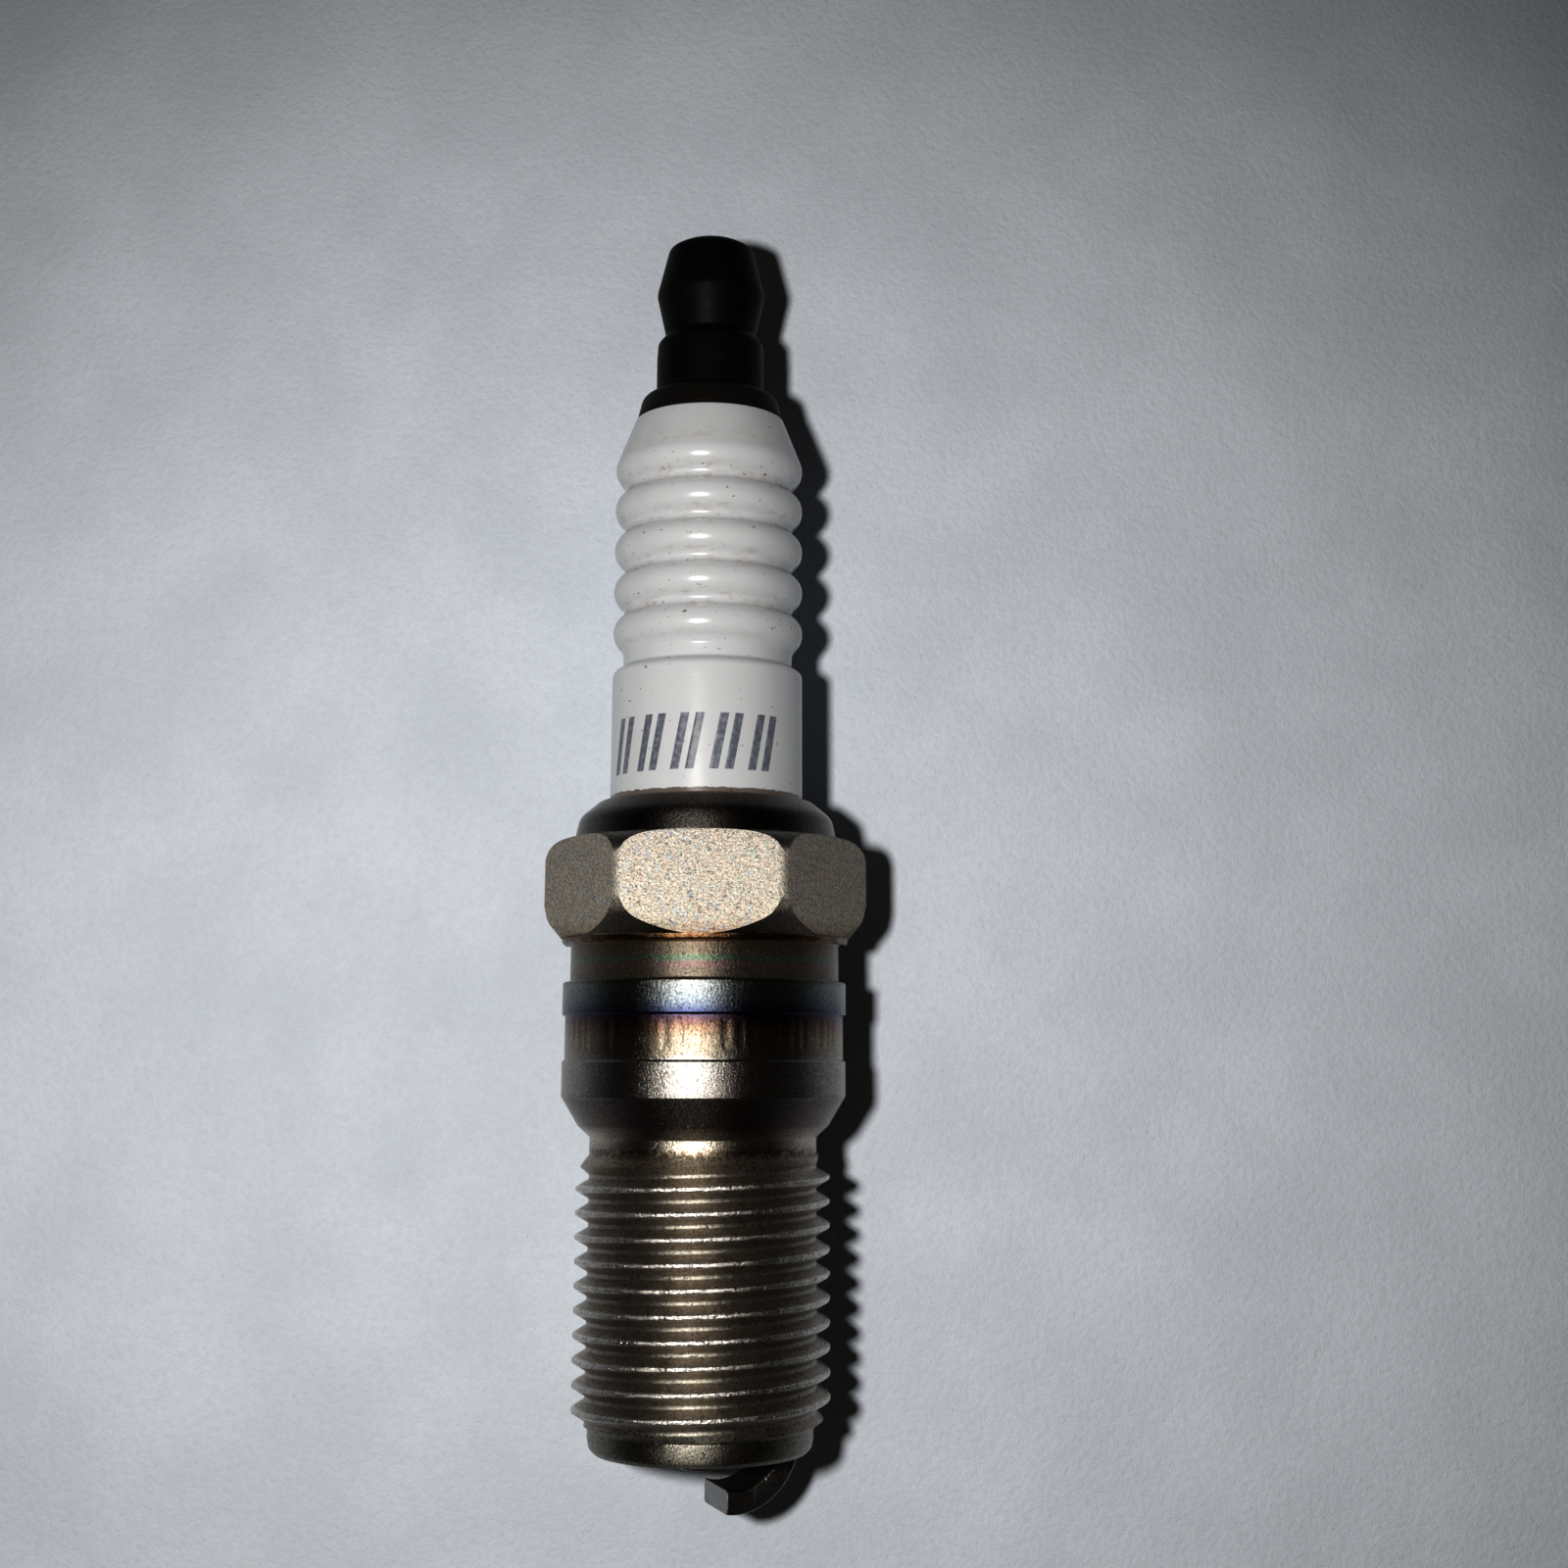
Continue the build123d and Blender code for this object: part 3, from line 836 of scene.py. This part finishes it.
def glazed_ceramic():
    """White glaze with brown specks, faint dirt in the grooves between the ribs, and a painted band of
    shade and lip reflection where it meets the shell.
    """
    s = Shader("white_glaze")
    radius = radius_of(s)
    specks = s.span(s.noise(0.30, 2, (1, 1.5, 1), w=2.0), 0.695, 0.72)
    fine_specks = s.span(s.noise(0.13, 1, w=6.0), 0.765, 0.79)
    ribs = s.times(s.span(s.y, 24.2, 25.6), s.span(s.y, 37.5, 36.0))
    low = s.times(s.span(radius, 5.42, 5.15), ribs)
    smear = s.times(low, s.span(s.noise(0.8, 4, (1, 2.5, 1), 0.65, 4.0), 0.48, 0.70))
    streak = s.times(ribs, s.span(s.noise(0.45, 3, (0.6, 1.8, 0.6), 0.6, 9.0), 0.69, 0.73))
    tone = s.mix(s.noise(4.0, 2), (0.525, 0.540, 0.560), (0.57, 0.585, 0.605))
    colour = s.mix(s.times(smear, 0.38), tone, (0.34, 0.26, 0.20))
    colour = s.mix(s.times(streak, 0.8), colour, (0.20, 0.14, 0.10))
    colour = s.mix(s.times(specks, 0.85), colour, (0.15, 0.095, 0.06))
    colour = s.mix(s.times(fine_specks, 0.6), colour, (0.10, 0.08, 0.07))
    # painted shade and reflection of the shell's lip: a thin dark brown band on the glaze just above the
    # lip
    edge = s.plus(s.y, s.times(s.noise(0.5, 3, w=8.0), 0.3))
    lip_shade_band = s.span(edge, 16.60, 16.50)
    colour = s.mix(s.times(lip_shade_band, 0.85), colour, (0.09, 0.06, 0.04))
    nose = s.span(s.y, -2.0, -6.0)
    colour = s.mix(nose, colour, (0.80, 0.79, 0.76))
    rough = s.plus(s.times(nose, 0.35), s.times(s.noise(0.6, 3), 0.12))
    rough = s.plus(rough, 0.17)
    s.bump(s.noise(1.4, 1, w=1.0), 0.15, 0.02)
    return s.set(
        Base_Color=colour,
        Roughness=rough,
        IOR=1.52,
        Subsurface_Weight=0.08,
        Subsurface_Radius=(0.0006, 0.0006, 0.0005),
        Subsurface_Scale=1.0,
    )


def printed_ink():
    """Slate ink, thin in places."""
    s = Shader("slate_ink")
    thin = s.span(s.noise(0.25, 4, w=3.0), 0.35, 0.75)
    colour = s.mix(thin, (0.125, 0.140, 0.170), (0.235, 0.250, 0.280))
    s.bump(s.noise(0.1, 3), 0.3, 0.02)
    return s.set(Base_Color=colour, Roughness=s.span(thin, 0, 1, 0.30, 0.45))


def black_oxide():
    """Matt black terminal with fine turning marks, striations on its flange and a few bright nicks."""
    s = Shader("black_oxide")
    radius = radius_of(s)
    angle = s.math("ARCTAN2", s.x, s.z)
    uneven = s.times(s.noise(0.9, 2, w=11.0), 9)
    spokes = s.math("SINE", s.plus(s.times(angle, 90), uneven))
    flange = s.times(s.span(s.y, 40.45, 40.2), s.span(radius, 3.2, 3.3))
    nick = s.span(s.noise(0.10, 2, w=4.0), 0.77, 0.80)
    wear = s.noise(0.5, 4, (1, 1.4, 1), 0.6, 2.0)
    colour = s.mix(wear, (0.0016, 0.0016, 0.0018), (0.0062, 0.0060, 0.0058))
    colour = s.mix(s.times(flange, 0.15), colour, (0.05, 0.045, 0.04))
    colour = s.mix(s.times(nick, 0.5), colour, (0.16, 0.16, 0.17))
    s.bump(s.times(spokes, flange), 0.2, 0.02)
    s.bump(s.noise(0.12, 3, (0.06, 1, 0.06), 0.5, 1.0), 0.2, 0.01)
    s.bump(s.noise(0.08, 3, w=7.0), 0.3, 0.012)
    return s.set(Base_Color=colour, Roughness=s.span(wear, 0.2, 0.8, 0.40, 0.52), Specular_IOR_Level=0.08)


def dark_nickel():
    """Drawn nickel alloy of the two electrodes, dark on its rolled faces and lighter where it is cut."""
    s = Shader("dark_nickel_alloy")
    streaks = s.noise(0.12, 3, (1, 1, 1), 0.6, 1.0)
    cloud = s.noise(0.9, 3, w=2.0)
    colour = s.mix(cloud, (0.135, 0.125, 0.118), (0.240, 0.228, 0.215))
    along_x = s.times(s.x, sin(STRAP_TURN))
    along_z = s.times(s.z, cos(STRAP_TURN))
    outwards = s.plus(along_x, along_z)
    cut = s.span(outwards, STRAP_END_R + 0.06, STRAP_END_R + 0.02)
    low = s.span(s.y, -19.6, -19.8)
    colour = s.mix(s.times(s.times(cut, low), 0.8), colour, (0.40, 0.392, 0.385))
    s.bump(streaks, 0.6, 0.02)
    scar = s.times(s.span(s.x, 2.4, 3.0), s.span(s.x, 5.0, 4.3))
    scar = s.times(scar, s.span(s.y, -18.6, -19.2))
    s.bump(s.times(scar, s.noise(0.16, 3, (1, 0.3, 1), 0.6, 5.0)), 1.0, 0.07)
    return s.set(Base_Color=colour, Metallic=1.0, Roughness=s.span(streaks, 0.3, 0.7, 0.26, 0.42))


def plain_metal(name, light, dark, rough, size=0.15):
    """Metal with fine turning marks, clouded from one shade to another."""
    s = Shader(name)
    cloud = s.noise(1.2, 4, w=1.0)
    marks = s.noise(size, 3, (0.08, 1, 0.08), 0.5, 2.0)
    s.bump(marks, 0.3, 0.02)
    s.bump(s.noise(0.08, 3, w=3.0), 0.25, 0.01)
    spread = s.span(marks, 0.3, 0.7, rough - 0.08, rough + 0.10)
    return s.set(Base_Color=s.mix(cloud, dark, light), Metallic=1.0, Roughness=spread)


def grainy(name, light, dark, rough, grain):
    """Powder or fused glass with grains of about that many millimetres."""
    s = Shader(name)
    spots = s.noise(grain, 4, w=1.0, rough=0.7)
    s.bump(spots, 0.6, grain * 0.4)
    spread = s.span(spots, 0.3, 0.7, rough - 0.1, rough + 0.1)
    return s.set(Base_Color=s.mix(s.span(spots, 0.35, 0.65), dark, light), Roughness=spread)


def paper():
    """Cool white paper with a faint tooth, soft clouding and a few fibres."""
    s = Shader("floor_paper")
    cloud = s.noise(9.0, 3, w=1.0)
    tooth = s.noise(0.35, 4, w=2.0, rough=0.7)
    fibre = s.span(s.noise(0.5, 2, (1.0, 0.16, 1), 0.5, 5.0), 0.74, 0.80)
    colour = s.mix(s.span(cloud, 0.3, 0.7), (0.585, 0.630, 0.690), (0.645, 0.690, 0.755))
    colour = s.mix(s.span(tooth, 0.3, 0.75, 0, 0.35), colour, (0.50, 0.53, 0.57))
    colour = s.mix(s.times(fibre, 0.12), colour, (0.35, 0.33, 0.32))
    speck = s.span(s.noise(0.25, 1, w=9.0), 0.80, 0.82)
    colour = s.mix(s.times(speck, 0.5), colour, (0.20, 0.17, 0.15))
    s.bump(tooth, 0.8, 0.15)
    return s.set(Base_Color=colour, Roughness=0.85, Specular_IOR_Level=0.25)


# ---------------------------------------------------------------- pieces

shell = turned_piece("shell", shell_rows(), "plug", closed=True)
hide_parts("metal_shell")
shell.data.materials.append(plated_shell())

ceramic = turned_piece("ceramic_body", insulator_rows(), "plug", closed=True)
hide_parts("insulator")
ceramic.data.materials.append(glazed_ceramic())

bars = marking()
bars.data.materials.append(printed_ink())

nut = turned_piece("terminal_cap_nut", nut_rows(), "terminal")
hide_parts("terminal_nut")
nut.data.materials.append(black_oxide())

stud = turned_piece("threaded_stud", stud_rows(), "plug", every=2)
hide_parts("terminal_stud")
zinc = plain_metal("zinc_plated_steel", (0.66, 0.66, 0.64), (0.50, 0.50, 0.49), 0.34)
stud.data.materials.append(zinc)

electrode_strap = strap()
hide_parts("ground_electrode")
nickel = dark_nickel()
electrode_strap.data.materials.append(nickel)

ring_steel = plain_metal("ring_steel_wire", (0.50, 0.50, 0.49), (0.36, 0.36, 0.36), 0.36)
seal_glass = grainy("seal_glass_with_copper", (0.40, 0.26, 0.18), (0.16, 0.12, 0.10), 0.45, 0.25)
resistor = grainy("resistor_carbon_glass", (0.12, 0.12, 0.12), (0.05, 0.05, 0.05), 0.60, 0.2)
finishes = {
    "upper_packing_ring": ring_steel,
    "lower_packing_ring": ring_steel,
    "talc_packing": grainy("pressed_talc", (0.84, 0.83, 0.79), (0.70, 0.69, 0.65), 0.80, 0.12),
    "seat_gasket": plain_metal("gasket_sheet_steel", (0.56, 0.55, 0.52), (0.42, 0.41, 0.39), 0.40),
    "upper_glass_seal": seal_glass,
    "lower_glass_seal": seal_glass,
    "suppressor_resistor": resistor,
    "center_electrode": nickel,
    "center_electrode_core": plain_metal("copper_core", (0.80, 0.45, 0.30), (0.62, 0.33, 0.21), 0.30),
}
for node, material in finishes.items():
    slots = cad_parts[node].data.materials
    slots.clear()
    slots.append(material)


# ---------------------------------------------------------------- floor, light and camera

floor_mesh = bpy.data.meshes.new("floor")
corners = [(-1, -1), (1, -1), (1, 1), (-1, 1)]
corners = [(x * FLOOR_HALF, y * FLOOR_HALF, FLOOR_Z) for x, y in corners]
floor_mesh.from_pydata(corners, [], [(0, 1, 2, 3)])
floor_sheet = bpy.data.objects.new("floor", floor_mesh)
bpy.context.scene.collection.objects.link(floor_sheet)
floor_mesh.materials.append(paper())

lamp = bpy.data.lights.new("lamp_by_the_camera", "SPOT")
lamp.energy = 0.79
lamp.color = (1.0, 0.97, 0.93)
lamp.shadow_soft_size = LAMP_RADIUS
lamp.spot_size = radians(88)
lamp.spot_blend = 1.0
lamp_object = bpy.data.objects.new("lamp_by_the_camera", lamp)
lamp_object.location = LAMP_PLACE
lamp_object.rotation_euler = Vector(LAMP_AIM).to_track_quat("-Z", "Y").to_euler()
bpy.context.scene.collection.objects.link(lamp_object)

world = bpy.data.worlds.new("studio")
world.use_nodes = True
background = world.node_tree.nodes["Background"]
background.inputs["Color"].default_value = (1.0, 0.90, 0.81, 1)
seen = world.node_tree.nodes.new("ShaderNodeLightPath")
strength = world.node_tree.nodes.new("ShaderNodeMapRange")
strength.inputs["To Min"].default_value = 0.039   # as a fill
strength.inputs["To Max"].default_value = 0.30    # as a backdrop
world.node_tree.links.new(seen.outputs["Is Camera Ray"], strength.inputs["Value"])
world.node_tree.links.new(strength.outputs[0], background.inputs["Strength"])
bpy.context.scene.world = world

camera = bpy.data.cameras.new("camera")
camera.sensor_width = 36
camera.lens = 50.58
camera.shift_y = -0.1669
camera.clip_start = 0.005
camera_object = bpy.data.objects.new("camera", camera)
camera_object.location = CAMERA_PLACE
camera_object.rotation_euler = CAMERA_TURN
bpy.context.scene.collection.objects.link(camera_object)
bpy.context.scene.camera = camera_object
bpy.context.scene.view_settings.view_transform = "Standard"
bpy.context.scene.view_settings.gamma = 0.69   # deepens the shadows
